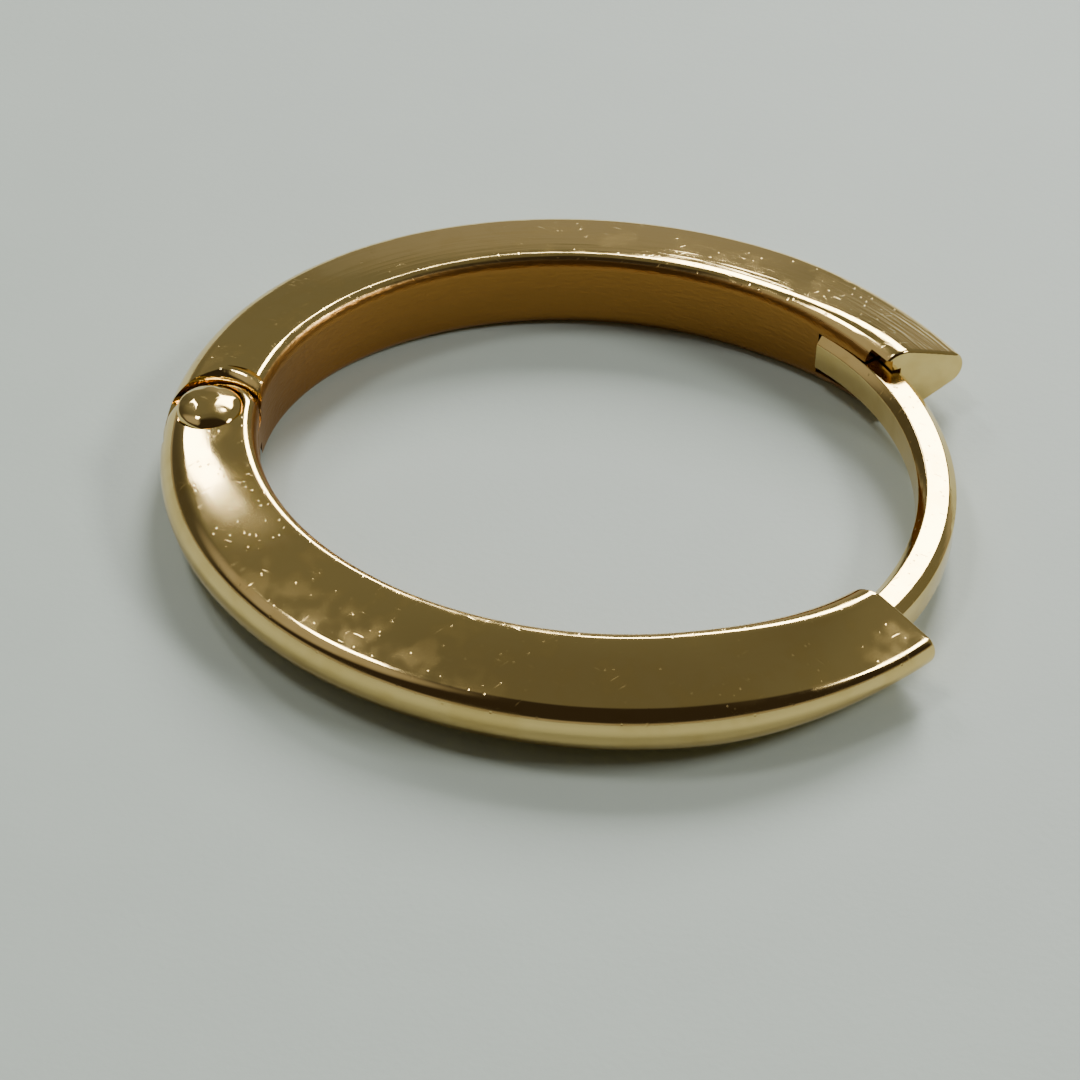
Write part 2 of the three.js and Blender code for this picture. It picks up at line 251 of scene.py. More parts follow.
def crowned(hoop, depth, rim, crown, distance, height):
    """Heights with crowned sides.

    The height above the wall's middle is scaled by one minus the crown times the squared distance from the
    middle of the depth, over the same at the top of the rim. Nothing rises past the rims.
    """
    middle = hoop.wall_height / 2
    scale = (1.0 - crown * (distance - depth / 2) ** 2) / (1.0 - crown * (depth / 2 - rim) ** 2)
    return np.clip(middle + (height - middle) * scale, 0.0, hoop.wall_height)


def side_line(hoop, depth, nose, shoulder, rim):
    """Slope of a side, and its height above the middle of the depth.

    The side is the line that touches both the rim's circle and the shoulder's circle from above. Its slope
    is the fall from one centre to the other plus the arcsine of the radii's difference over the centres'
    distance.
    """
    across = depth - nose + (nose - shoulder) * math.cos(NOSE_HALF_ANGLE) - rim
    down = hoop.wall_height / 2 - rim - (nose - shoulder) * math.sin(NOSE_HALF_ANGLE)
    slope = np.arctan2(down, across) + np.arcsin((rim - shoulder) / np.hypot(across, down))
    start = rim + rim * np.sin(slope)
    height = hoop.wall_height - rim + rim * np.cos(slope) - (depth / 2 - start) * np.tan(slope)
    return slope, height


def section_point(hoop, angle, place, inset=0.0):
    """Distance from the inner wall and height of points of the section, at angles of the oval.

    A place is a share of a quarter's arc length, whether the quarter is an outer one, and whether it is
    below the middle of the wall. An inner quarter is a line along the side, the rim's arc and a line down
    the inner wall. An outer one is a line along the side, the shoulder's arc and the nose's arc. Each point
    is moved in by the inset, against its normal.
    """
    share, outer, below = place
    depth, nose, shoulder, rim, crown = section_sizes(hoop, angle)
    slope, height = side_line(hoop, depth, nose, shoulder, rim)
    axis = depth / 2
    up = math.pi / 2 - slope

    rim_start = rim + rim * np.sin(slope)
    line = (axis - rim_start) / np.cos(slope)
    arc = rim * (math.pi / 2 + slope)
    wall = hoop.wall_height / 2 - rim
    s = share * (line + arc + wall)
    along = np.minimum(s, line)
    turn = up + np.clip((s - line) / rim, 0.0, math.pi / 2 + slope)
    x_in = axis - along * np.cos(slope) + rim * (np.cos(turn) - np.cos(up))
    z_in = height + along * np.sin(slope) + rim * (np.sin(turn) - np.sin(up))
    z_in = z_in - np.clip(s - line - arc, 0.0, None)

    shoulder_x = depth - nose + (nose - shoulder) * math.cos(NOSE_HALF_ANGLE)
    line = (shoulder_x + shoulder * np.sin(slope) - axis) / np.cos(slope)
    arc = shoulder * (up - NOSE_HALF_ANGLE)
    s = share * (line + arc + nose * NOSE_HALF_ANGLE)
    along = np.minimum(s, line)
    bend = up - np.clip((s - line) / shoulder, 0.0, up - NOSE_HALF_ANGLE)
    tip = NOSE_HALF_ANGLE - np.clip((s - line - arc) / nose, 0.0, NOSE_HALF_ANGLE)
    x_out = axis + along * np.cos(slope) + shoulder * (np.cos(bend) - np.cos(up))
    x_out = x_out + nose * (np.cos(tip) - math.cos(NOSE_HALF_ANGLE))
    z_out = height - along * np.sin(slope) + shoulder * (np.sin(bend) - np.sin(up))
    z_out = z_out + nose * (np.sin(tip) - math.sin(NOSE_HALF_ANGLE))
    facing = np.where(bend > NOSE_HALF_ANGLE, bend, tip)

    face = np.where(outer, facing, turn)
    x = np.where(outer, x_out, x_in) - inset * np.cos(face)
    z = crowned(hoop, depth, rim, crown, x, np.where(outer, z_out, z_in) - inset * np.sin(face))
    return x, np.where(below, hoop.wall_height - z, z)


def section_places():
    """Places round the section: from the top of the axis inwards, down, and back up on the outer side."""
    share = np.linspace(0.0, 1.0, QUARTER_POINTS)
    inner = np.concatenate([share, share[-2::-1]])
    outer = inner[1:-1][::-1]
    below_inner = np.arange(len(inner)) >= QUARTER_POINTS
    below_outer = below_inner[1:-1][::-1]
    is_outer = np.arange(len(inner) + len(outer)) >= len(inner)
    return np.concatenate([inner, outer]), is_outer, np.concatenate([below_inner, below_outer])


def bar_point(hoop, angle, distance, height):
    """Points at distances out from the inner wall, straight out from it, at angles of the oval."""
    c, s = normal(angle)
    out_x, out_y = c / hoop.opening_length, s / hoop.opening_width
    long = np.hypot(out_x, out_y)
    x = hoop.opening_length / 2 * c + distance * out_x / long
    y = hoop.opening_width / 2 * s + distance * out_y / long
    return np.stack(np.broadcast_arrays(x, y, height), -1)


def cut_angles(hoop, first, side, place, inset, back_off):
    """Angle of the oval at which each rail of the section lies a distance short of the end cut.

    The interval is halved until the rail's point less the cut's corner, measured across the cut, is minus
    that distance.
    """
    end, cut = (BACK_END, BACK_CUT) if side > 0 else (FRONT_END, FRONT_CUT)
    end_turn = math.radians(end if side > 0 else 360.0 - end)
    corner = bar_point(hoop, np.array(end_turn), 0.0, 0.0)[:2]
    away = np.array([math.sin(math.radians(cut)), -side * math.cos(math.radians(cut))])
    near = np.full(place[0].shape, (first + end_turn) / 2)
    far = np.full(place[0].shape, end_turn - side * BEYOND_END)
    for _ in range(HALVINGS):
        middle = (near + far) / 2
        distance, height = section_point(hoop, middle, place, inset)
        past = (bar_point(hoop, middle, distance, height)[..., :2] - corner) @ away > -back_off
        near, far = np.where(past, near, middle), np.where(past, middle, far)
    return (near + far) / 2


def hinge_facts(hoop, hinge):
    """Angle of the hinge on the oval, the knuckle's radius, the pin's place, and the knuckle's height there."""
    turn = math.pi + hinge.hinge_angle
    depth, nose, shoulder, rim, crown = section_sizes(hoop, np.array(turn))
    _, top = side_line(hoop, depth, nose, shoulder, rim)
    top = crowned(hoop, depth, rim, crown, depth / 2, top)
    radius = float(depth) / 2
    place = bar_point(hoop, np.array(turn), radius, 0.0)[:2]
    return turn, radius, place, float(top)


def bar_rings(hoop, first, side, place):
    """Rings of the section along the oval, from the hinge to the end cut and its rounded edge.

    Rings stand at evenly spaced angles up to the rounded edge, where each ring is moved in by the edge
    radius times one minus the cosine, and lies the radius times one minus the sine short of the cut.
    """
    last = cut_angles(hoop, first, side, place, 0.0, hoop.edge_radius)
    angle = first + (last - first) * np.linspace(0.0, 1.0, BAR_STATIONS)[:-1, None]
    rings = [bar_point(hoop, angle, *section_point(hoop, angle, place))]
    for turn in np.linspace(0.0, math.pi / 2, EDGE_RINGS):
        inset = hoop.edge_radius * (1.0 - math.cos(turn))
        angle = cut_angles(hoop, first, side, place, inset, hoop.edge_radius * (1.0 - math.sin(turn)))
        rings.append(bar_point(hoop, angle, *section_point(hoop, angle, place, inset))[None])
    return np.concatenate(rings)


def knuckle_rows(hoop, hinge, place, onward, inner, outer):
    """Rows that turn the section's inner side about the pin, onward past the bar, until it is the outer side.

    Its reach and height are blended by half of one minus the cosine of the turn.
    """
    first, knuckle, pin, _ = hinge_facts(hoop, hinge)
    reach, level = section_point(hoop, np.array([[first]]), [part[None] for part in place])
    inward = bar_point(hoop, np.array(first), 0.0, 0.0)[:2] - pin
    inward = inward / np.hypot(*inward)
    forward = onward - inward * (onward @ inward)
    forward = forward / np.hypot(*forward)
    turn = (np.arange(1, END_ROWS) * math.pi / END_ROWS)[:, None]
    blend = (1.0 - np.cos(turn)) / 2
    radius = (1.0 - blend) * (knuckle - reach[:, inner]) + blend * (reach[:, outer] - knuckle)
    height = (1.0 - blend) * level[:, inner] + blend * level[:, outer]
    x = pin[0] + radius * (np.cos(turn) * inward[0] + np.sin(turn) * forward[0])
    y = pin[1] + radius * (np.cos(turn) * inward[1] + np.sin(turn) * forward[1])
    return np.stack([x, y, height], -1)


def bar_mesh(hoop, hinge, side):
    """One half of the hoop: the section carried along the oval, a rounded end about the pin and a flat cut.

    Faces join each ring to the next, and the knuckle's rows to each other and to both sides of the first
    ring. Fans of triangles close the knuckle at its top and bottom, and one face closes the cut.
    """
    place = section_places()
    rings = bar_rings(hoop, hinge_facts(hoop, hinge)[0], side, place)
    stations, count = rings.shape[:2]
    half = 2 * QUARTER_POINTS - 3
    inner = np.arange(1, half + 1)
    outer = np.arange(count - 1, count - 1 - half, -1)
    rows = knuckle_rows(hoop, hinge, place, rings[0, 0, :2] - rings[1, 0, :2], inner, outer)
    vertices = np.concatenate([rings.reshape(-1, 3), rows.reshape(-1, 3)])

    ring = np.arange(stations * count).reshape(stations, count)
    extra = stations * count + np.arange((END_ROWS - 1) * half).reshape(END_ROWS - 1, half)
    bands = np.concatenate([inner[None], extra, outer[None]])
    sides = [*grid_faces(np.concatenate([ring, ring[:, :1]], 1)).tolist(), *grid_faces(bands).tolist()]
    top = np.stack([np.zeros(END_ROWS, int), bands[1:, 0], bands[:-1, 0]], -1)
    bottom = np.stack([np.full(END_ROWS, half + 1), bands[:-1, -1], bands[1:, -1]], -1)
    return vertices, [*sides, *top.tolist(), *bottom.tolist(), ring[-1].tolist()]


def grid_faces(index):
    """Four-sided faces between neighbours on a grid of vertex numbers."""
    a, b, c, d = index[:-1, :-1], index[:-1, 1:], index[1:, 1:], index[1:, :-1]
    return np.stack([a, b, c, d], -1).reshape(-1, 4)


def stacked(outlines, heights):
    """A solid through outlines in plan at their heights, closed by its first and last outline."""
    outlines = np.stack(outlines)
    levels, count = outlines.shape[:2]
    z = np.broadcast_to(np.array(heights)[:, None, None], (levels, count, 1))
    vertices = np.concatenate([outlines, z], -1).reshape(-1, 3)
    index = np.arange(levels * count).reshape(levels, count)
    sides = grid_faces(np.concatenate([index, index[:, :1]], 1))
    return vertices, [*sides.tolist(), index[0, ::-1].tolist(), index[-1].tolist()]


def turned(profile, center):
    """A profile of radii and heights turned about an upright axis, with a pole at each end."""
    profile = np.array(profile)
    angle = np.arange(LATHE_SIDES) * 2 * math.pi / LATHE_SIDES
    body = profile[1:-1]
    x = center[0] + body[:, :1] * np.cos(angle)
    y = center[1] + body[:, :1] * np.sin(angle)
    z = np.broadcast_to(body[:, 1:], x.shape)
    poles = np.array([[*center, profile[0, 1]], [*center, profile[-1, 1]]])
    vertices = np.concatenate([np.stack([x, y, z], -1).reshape(-1, 3), poles])
    index = np.arange(len(body) * LATHE_SIDES).reshape(len(body), LATHE_SIDES)
    index = np.concatenate([index, index[:, :1]], 1)
    sides = grid_faces(index)
    low = np.stack([index[0, 1:], index[0, :-1], np.full(LATHE_SIDES, len(vertices) - 2)], -1)
    high = np.stack([index[-1, :-1], index[-1, 1:], np.full(LATHE_SIDES, len(vertices) - 1)], -1)
    return vertices, [*sides.tolist(), *low.tolist(), *high.tolist()]


def arc(center, radius, first, last, steps):
    """Points on a circle between two angles."""
    c, s = normal(np.linspace(first, last, steps))
    return np.stack([center[0] + radius * c, center[1] + radius * s], -1)


def swept_outline(pin, radius, first, last):
    """Plan of what the other half sweeps as the hinge opens: an arc about the pin and two straight flanks."""
    points = arc(pin, radius, first, last, SEAT_STEPS)
    side = np.sign(last - first) * BEYOND
    before = points[0] + side * np.array([math.sin(first), -math.cos(first)])
    after = points[-1] + side * np.array([-math.sin(last), math.cos(last)])
    return np.concatenate([[before], points, [after]])


def cheek_seat(hoop, hinge, above):
    """What the front half's cheek turns in, over the tongue or under it, with a rounded lip.

    Each level's outline grows by the bevel times one minus the cosine, while its height rises by the bevel
    times the sine, up to the lip.
    """
    turn, knuckle, pin, top = hinge_facts(hoop, hinge)
    radius = knuckle + hinge.running_gap
    tilt = turn - math.pi
    first = math.pi - hinge.open_angle + tilt
    bend = np.linspace(0.0, math.pi / 2, LIP_STEPS)
    radii = [radius, *(radius + hinge.seat_bevel * (1.0 - np.cos(bend))), radius + hinge.seat_bevel]
    low = hoop.wall_height / 2 + hinge.tongue_height / 2
    lip = top - hinge.seat_bevel + hinge.seat_bevel * np.sin(bend)
    heights = [low, *lip, hoop.wall_height + CLEAR]
    outlines = [swept_outline(pin, r, first, tilt) for r in radii]
    if not above:
        heights = [hoop.wall_height - z for z in heights]
    return stacked(outlines, heights)


def tongue_slot(hoop, hinge):
    """The front half's slot, which the back half's tongue turns in."""
    turn, knuckle, pin, _ = hinge_facts(hoop, hinge)
    tilt = turn - math.pi
    half = hinge.tongue_height / 2 + hinge.side_gap
    first = math.pi + hinge.open_angle + tilt
    outline = swept_outline(pin, knuckle + hinge.running_gap, first, 2 * math.pi + tilt)
    return stacked([outline, outline], [hoop.wall_height / 2 - half, hoop.wall_height / 2 + half])


def post_facts(hoop, post):
    """Centre of the post's bow, the angles of its root and tip on the bow, and its middle height."""
    center = np.array([hoop.opening_length / 2 + post.offset - post.bow_radius, -post.shift])
    root = math.asin((POST_ROOT_SHARE * hoop.opening_width / 2 + post.shift) / post.bow_radius)
    tip = -math.asin((POST_TIP_SHARE * hoop.opening_width / 2 - post.shift) / post.bow_radius)
    return center, root, tip, hoop.wall_height / 2 - post.drop


def post_slot(hoop, post, outer_radius, first, last, rise):
    """A slot along the post's bow, open to the inside of the hoop."""
    center, _, _, middle = post_facts(hoop, post)
    half = post.height / 2 + post.slot_gap
    outline = np.concatenate([
        arc(center, outer_radius, first, last, SEAT_STEPS),
        arc(center, outer_radius - BEYOND, last, first, SLOT_BACK_STEPS),
    ])
    return stacked([outline, outline], [middle - half, middle + half + rise])


def post_profile(post):
    """The strip's section: a rectangle with chamfered edges, whose eight corners are small arcs.

    Each corner is the sharp octagon's corner moved in along its bisector, plus the corner radius along
    normals that turn from one face's to the next's.
    """
    w, h, c = post.width / 2, post.height / 2, post.chamfer
    upper = np.array([[w, h - c], [w - c, h], [c - w, h], [-w, h - c]])
    sharp = np.concatenate([upper, -upper])
    eighth = 45.0
    faces = np.radians(eighth * np.arange(8))
    turn = faces[:, None] + np.radians(eighth) * np.linspace(0.0, 1.0, CORNER_STEPS)
    bisector = faces + np.radians(eighth / 2)
    reach = post.corner_radius / math.cos(math.radians(eighth / 2))
    centers = sharp - reach * np.stack(normal(bisector), -1)
    points = centers[:, None] + post.corner_radius * np.stack(normal(turn), -1)
    return points.reshape(-1, 2)


def post_mesh(hoop, post):
    """The post: its profile carried along an arc, drawn in at the tip by a quarter of an ellipse."""
    center, root, tip, middle = post_facts(hoop, post)
    profile = post_profile(post)
    taper = POST_TAPER / post.bow_radius
    share = np.linspace(0.0, 1.0, POST_STATIONS)
    straight = root + (tip + taper - root) * share
    bend = np.linspace(0.0, math.pi / 2, TIP_RINGS)[1:]
    angle = np.concatenate([straight, tip + taper * (1.0 - np.sin(bend))])
    scale = np.concatenate([np.ones(POST_STATIONS), POST_TIP_SIZE + (1 - POST_TIP_SIZE) * np.cos(bend)])
    radius = post.bow_radius + scale[:, None] * profile[None, :, 0]
    x = center[0] + radius * np.cos(angle)[:, None]
    y = center[1] + radius * np.sin(angle)[:, None]
    z = middle + scale[:, None] * profile[None, :, 1]
    index = np.arange(x.size).reshape(x.shape)
    faces = grid_faces(np.concatenate([index, index[:, :1]], 1))[:, ::-1]
    vertices = np.stack([x, y, z], -1).reshape(-1, 3)
    return vertices, [*faces.tolist(), index[0].tolist(), index[-1, ::-1].tolist()]


def pin_mesh(hoop, hinge):
    """The hinge pin: a flat foot, a shank and a domed head whose height follows a quarter of an ellipse."""
    _, _, pin, top = hinge_facts(hoop, hinge)
    seat = top - hinge.head_sink
    brim = seat + hinge.head_brim
    foot_top = hinge.foot_recess + hinge.foot_thickness
    crest = top + hinge.head_rise
    profile = [[0.0, hinge.foot_recess], [hinge.foot_radius, hinge.foot_recess], [hinge.foot_radius, foot_top]]
    profile += [[hinge.pin_radius, foot_top], [hinge.pin_radius, seat], [hinge.head_radius, seat]]
    for c, s in zip(*normal(np.linspace(0.0, math.pi / 2, DOME_STEPS)[:-1])):
        profile.append([hinge.head_radius * c, brim + (crest - brim) * s])
    return turned([*profile, [0.0, crest]], pin)


def pin_room(hoop, hinge):
    """All the room round the pin: over its foot, along its shank and under its head, as one turned shape."""
    _, _, pin, top = hinge_facts(hoop, hinge)
    radii = (hinge.pin_radius, hinge.head_radius, hinge.foot_radius)
    bore, head, foot = (radius + hinge.pin_fit for radius in radii)
    seat = top - hinge.head_sink - hinge.pin_fit
    foot_top = hinge.foot_recess + hinge.foot_thickness + hinge.pin_fit
    profile = [[0, -CLEAR], [foot, -CLEAR], [foot, foot_top], [bore, foot_top]]
    profile += [[bore, seat], [head, seat], [head, BEYOND], [0, BEYOND]]
    return turned(profile, pin)


def pin_bore(hoop, hinge):
    """The shank's hole through the tongue."""
    _, _, pin, _ = hinge_facts(hoop, hinge)
    bore = hinge.pin_radius + hinge.pin_fit
    return turned([[0, -CLEAR], [bore, -CLEAR], [bore, BEYOND], [0, BEYOND]], pin)


# Making meshes into pieces


def world_shift():
    """From the oval's centre to the frame's origin, in metres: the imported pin's middle less the pin's place."""
    scene = bpy.context.scene
    low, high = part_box("hinge_pin")
    _, _, pin, _ = hinge_facts(scene.hoop, scene.hinge)
    return np.array([(low.x + high.x) / 2 - pin[0] * MM, (low.y + high.y) / 2 - pin[1] * MM, 0.0])


def new_object(name, shape, materials):
    """An object from vertices in millimetres and faces, which are turned outwards, with its materials."""
    vertices, faces = shape
    mesh = bpy.data.meshes.new(name)
    mesh.from_pydata((np.asarray(vertices) * MM + world_shift()).tolist(), [], faces)
    for material in materials:
        mesh.materials.append(material)
    bm = bmesh.new()
    bm.from_mesh(mesh)
    bmesh.ops.recalc_face_normals(bm, faces=bm.faces)
    bm.to_mesh(mesh)
    bm.free()
    obj = bpy.data.objects.new(name, mesh)
    bpy.context.scene.collection.objects.link(obj)
    return obj


def cut_away(obj, shapes, materials):
    """Takes each shape away from an object, in order."""
    for i, shape in enumerate(shapes):
        cutter = new_object(f"cutter_{i}", shape, materials)
        modifier = obj.modifiers.new("cut", "BOOLEAN")
        modifier.operation = "DIFFERENCE"
        modifier.solver = "EXACT"
        modifier.object = cutter
        graph = bpy.context.evaluated_depsgraph_get()
        cut = bpy.data.meshes.new_from_object(obj.evaluated_get(graph))
        obj.modifiers.clear()
        obj.data = cut
        bpy.data.objects.remove(cutter)


def finished(obj, body, nodes=()):
    """Smooth shading with sharp creases; the piece rides on its body's empty, and the imported parts that it
    stands for are hidden.
    """
    mesh = obj.data
    mesh.polygons.foreach_set("use_smooth", np.ones(len(mesh.polygons), dtype=bool))
    mesh.set_sharp_from_angle(angle=CREASE_ANGLE)
    mesh.update()
    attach(obj, body)
    if nodes:
        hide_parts(*nodes)


# Materials

# Kinds of shader nodes
MAPPING, NOISE, CELLS = "ShaderNodeMapping", "ShaderNodeTexNoise", "ShaderNodeTexVoronoi"
MATH, VECTOR_MATH, RANGE, MIX = "ShaderNodeMath", "ShaderNodeVectorMath", "ShaderNodeMapRange", "ShaderNodeMix"
# Numbers of the Mix node's sockets, for colours and for plain values
COLOR_A, COLOR_B, COLOR_OUT = 6, 7, 2
VALUE_A, VALUE_B, VALUE_OUT = 2, 3, 0

# How much rougher the gold is in a scratch or pit, and how worn gold's colour is darker and redder
MARK_ROUGHNESS = 0.06
TARNISH = (0.93, 0.91, 0.84, 1.0)


def add_node(tree, kind, sockets=(), **settings):
    """A shader node with its settings, and another node's output or a plain value for each socket named."""
    node = tree.nodes.new(kind)
    for key, value in settings.items():
        setattr(node, key, value)
    for socket, value in sockets:
        if isinstance(value, bpy.types.NodeSocket):
            tree.links.new(value, node.inputs[socket])
        else:
            node.inputs[socket].default_value = value
    return node


def new_material(name):
    """An empty node material and its tree."""
    material = bpy.data.materials.new(name)
    material.use_nodes = True
    material.node_tree.nodes.clear()
    return material, material.node_tree


def hoop_places(tree, hoop):
    """Three kinds of place on a piece, in millimetres: in plan, round the hoop, and away from its inner wall.

    A place in plan is centred on the oval. A place round the hoop is the way along the oval, the distance
    away from the inner wall and the height. The plan is divided by the oval's half length and half width:
    the distance away is then its length less one, and the way along is its angle, both times the oval's mean
    radius.
    """
    half = (hoop.opening_length / 2, hoop.opening_width / 2)
    mean = (half[0] + half[1]) / 2
    own = add_node(tree, "ShaderNodeTexCoord").outputs["Object"]
    plan = [("Vector", own), ("Location", tuple(-world_shift() / MM)), ("Scale", (1 / MM, 1 / MM, 1 / MM))]
    plan = add_node(tree, MAPPING, plan).outputs["Vector"]
    unit = [("Vector", plan), ("Scale", (1 / half[0], 1 / half[1], 0.0))]
    unit = add_node(tree, MAPPING, unit).outputs["Vector"]
    length = add_node(tree, VECTOR_MATH, [(0, unit)], operation="LENGTH").outputs["Value"]
    parts = add_node(tree, "ShaderNodeSeparateXYZ", [("Vector", unit)]).outputs
    height = add_node(tree, "ShaderNodeSeparateXYZ", [("Vector", plan)]).outputs["Z"]
    away = add_node(tree, MATH, [(0, length), (1, mean), (2, -mean)], operation="MULTIPLY_ADD").outputs[0]
    turn = add_node(tree, MATH, [(0, parts["Y"]), (1, parts["X"])], operation="ARCTAN2").outputs[0]
    along = add_node(tree, MATH, [(0, turn), (1, mean)], operation="MULTIPLY").outputs[0]
    around = add_node(tree, "ShaderNodeCombineXYZ", [("X", along), ("Y", away), ("Z", height)])
    return plan, around.outputs["Vector"], away


def gold_patterns(tree, plan, around):
    """The gold's patterns: waves, streaks, patches of wear, pits, and two layers of hairline scratches.

    Their sizes are in millimetres, and none is finer than the render shows.
    """
    # The buffing wheel's slow waves, 1.3 wide, bend each reflection a little, as on metal finished by hand
    waves = add_node(tree, NOISE, [("Vector", plan), ("Scale", 1 / 1.3), ("Detail", 1.0)]).outputs["Fac"]
    # Its streaks, 0.13 wide and 1.8 long, run along the oval and draw reflections out into lines
    drawn = [("Vector", around), ("Scale", (1 / 1.8, 1 / 0.13, 1 / 0.13))]
    drawn = add_node(tree, MAPPING, drawn).outputs["Vector"]
    streaks = add_node(tree, NOISE, [("Vector", drawn), ("Scale", 1.0), ("Detail", 2.0)]).outputs["Fac"]
    # Wear, in patches 0.9 wide, dulls the polish here and there
    patches = [("Vector", plan), ("Scale", 1 / 0.9), ("Detail", 2.0), ("Roughness", 0.7)]
    patches = add_node(tree, NOISE, patches).outputs["Fac"]
    # Pits 0.2 apart catch the light as sparks
    spots = add_node(tree, CELLS, [("Vector", plan), ("Scale", 1 / 0.2)]).outputs["Distance"]
    # Hairline scratches, up to 2.4 long and 0.34 apart, cross at two angles, as on jewellery that was worn
    hairs = []
    for turn in (0.75, -0.4):
        laid = [("Vector", plan), ("Rotation", (0.0, 0.0, turn)), ("Scale", (2.4, 0.34, 1.0))]
        laid = add_node(tree, MAPPING, laid, vector_type="TEXTURE").outputs["Vector"]
        hair = add_node(tree, CELLS, [("Vector", laid), ("Scale", 1.0)], voronoi_dimensions="2D")
        hairs.append(hair.outputs["Distance"])
    return waves, streaks, patches, spots, hairs


def gold_material(name, look, hoop, scuff, satin_wall=False, hammered=False, streaking=0.6):
    """Yellow gold: polished metal with its wear, an optional satin wall whose colour is painted shade, and
    optional hammered dents.

    Roughness runs between polish and wear. The bump's height, in micrometres, adds up each pattern times its
    depth. Scratches and pits gather where the metal is worn, along the inner rims, and round a scuffed
    place, which is given by its x, y and reach.
    """
    material, tree = new_material(name)
    plan, around, away = hoop_places(tree, hoop)
    waves, streaks, patches, spots, hairs = gold_patterns(tree, plan, around)
    scuff_x, scuff_y, reach = scuff
    from_scuff = [(0, plan), (1, (scuff_x, scuff_y, hoop.wall_height))]
    from_scuff = add_node(tree, VECTOR_MATH, from_scuff, operation="DISTANCE").outputs["Value"]

    # Each share runs smoothly from its first value, where the pattern is low, to its last, where it is high
    shares = []
    for value, low, high, first, last in (
        (patches, 0.42, 0.66, 0.0, 1.0),
        (from_scuff, 0.3 * reach, reach, 1.0, 0.0),
        (away, 0.2, 0.6, 0.8, 0.15),
        (spots, 0.07, 0.18, 2.4, 0.0),
        (hairs[0], 0.02, 0.06, 1.6, 0.0),
        (hairs[1], 0.02, 0.06, 1.6, 0.0),
        (away, 0.07, 0.15, 1.0, 0.0),
    ):
        ends = [("From Min", low), ("From Max", high), ("To Min", first), ("To Max", last)]
        share = add_node(tree, RANGE, [("Value", value), *ends], interpolation_type="SMOOTHSTEP")
        shares.append(share.outputs["Result"])
    worn, scuffed, rims, pits, hair_one, hair_two, wall = shares

    dull = add_node(tree, MATH, [(0, worn), (1, scuffed)], operation="MAXIMUM").outputs[0]
    where = add_node(tree, MATH, [(0, dull), (1, rims)], operation="MAXIMUM").outputs[0]
    marks = pits
    for hair in (hair_one, hair_two):
        marks = add_node(tree, MATH, [(0, marks), (1, hair)], operation="MAXIMUM").outputs[0]
    marks = add_node(tree, MATH, [(0, marks), (1, where)], operation="MULTIPLY").outputs[0]

    depths = [(waves, 8.5), (streaks, streaking), (marks, -1.0)]
    if hammered:
        # Hammered dents 0.34 wide break the reflection on the rivet's dome
        dents = [("Vector", plan), ("Scale", 1 / 0.34), ("Smoothness", 0.6)]
        dents = add_node(tree, CELLS, dents, feature="SMOOTH_F1").outputs["Distance"]
        depths.append((dents, 34.0))
    if satin_wall:
        # The satin wall's grain, 0.07 across and 0.18 along the oval, spreads light evenly
        grain = [("Vector", around), ("Scale", (1 / 0.18, 1 / 0.07, 1 / 0.07))]
        grain = add_node(tree, MAPPING, grain).outputs["Vector"]
        grain = add_node(tree, NOISE, [("Vector", grain), ("Scale", 1.0), ("Detail", 1.0)]).outputs["Fac"]
        grain = add_node(tree, MATH, [(0, grain), (1, wall)], operation="MULTIPLY").outputs[0]
        depths.append((grain, 9.0))
    relief = 0.0
    for pattern, depth in depths:
        relief = [(0, pattern), (1, depth), (2, relief)]
        relief = add_node(tree, MATH, relief, operation="MULTIPLY_ADD").outputs[0]
    bump = add_node(tree, "ShaderNodeBump", [("Strength", 1.0), ("Distance", MICRON), ("Height", relief)])

    rough = add_node(tree, RANGE, [("Value", dull), ("To Min", look.polish), ("To Max", look.wear)])
    rough = [(0, marks), (1, MARK_ROUGHNESS), (2, rough.outputs["Result"])]
    rough = add_node(tree, MATH, rough, operation="MULTIPLY_ADD").outputs[0]
    tarnished = [c * s for c, s in zip(look.color, TARNISH)]
    color = [(0, worn), (COLOR_A, look.color), (COLOR_B, tarnished)]
    color = add_node(tree, MIX, color, data_type="RGBA").outputs[COLOR_OUT]
    if satin_wall:
        rough = [(0, wall), (VALUE_A, rough), (VALUE_B, look.satin)]
        rough = add_node(tree, MIX, rough, data_type="FLOAT").outputs[VALUE_OUT]
        # On the wall the colour goes to a darker, redder painted shade, standing in for the shade and the gold's
        # own reflections inside the hoop
        color = [(0, wall), (COLOR_A, color), (COLOR_B, look.wall_shade_color)]
        color = add_node(tree, MIX, color, data_type="RGBA").outputs[COLOR_OUT]
    finish = [("Base Color", color), ("Metallic", 1.0), ("Roughness", rough)]
    shader = add_node(tree, "ShaderNodeBsdfPrincipled", [*finish, ("Normal", bump.outputs["Normal"])])
    add_node(tree, "ShaderNodeOutputMaterial", [("Surface", shader.outputs["BSDF"])])
    return material


def gold(name, **finish):
    """One finish of the gold, made once, as a list of materials."""
    if name not in bpy.data.materials:
        gold_material(name, bpy.context.scene.gold, bpy.context.scene.hoop, **finish)
    return [bpy.data.materials[name]]


# Widths of the laminate's mottle and of its press plate's tooth, in millimetres
MOTTLE_WIDTH, TOOTH_WIDTH = 10 / 3, 1 / 6


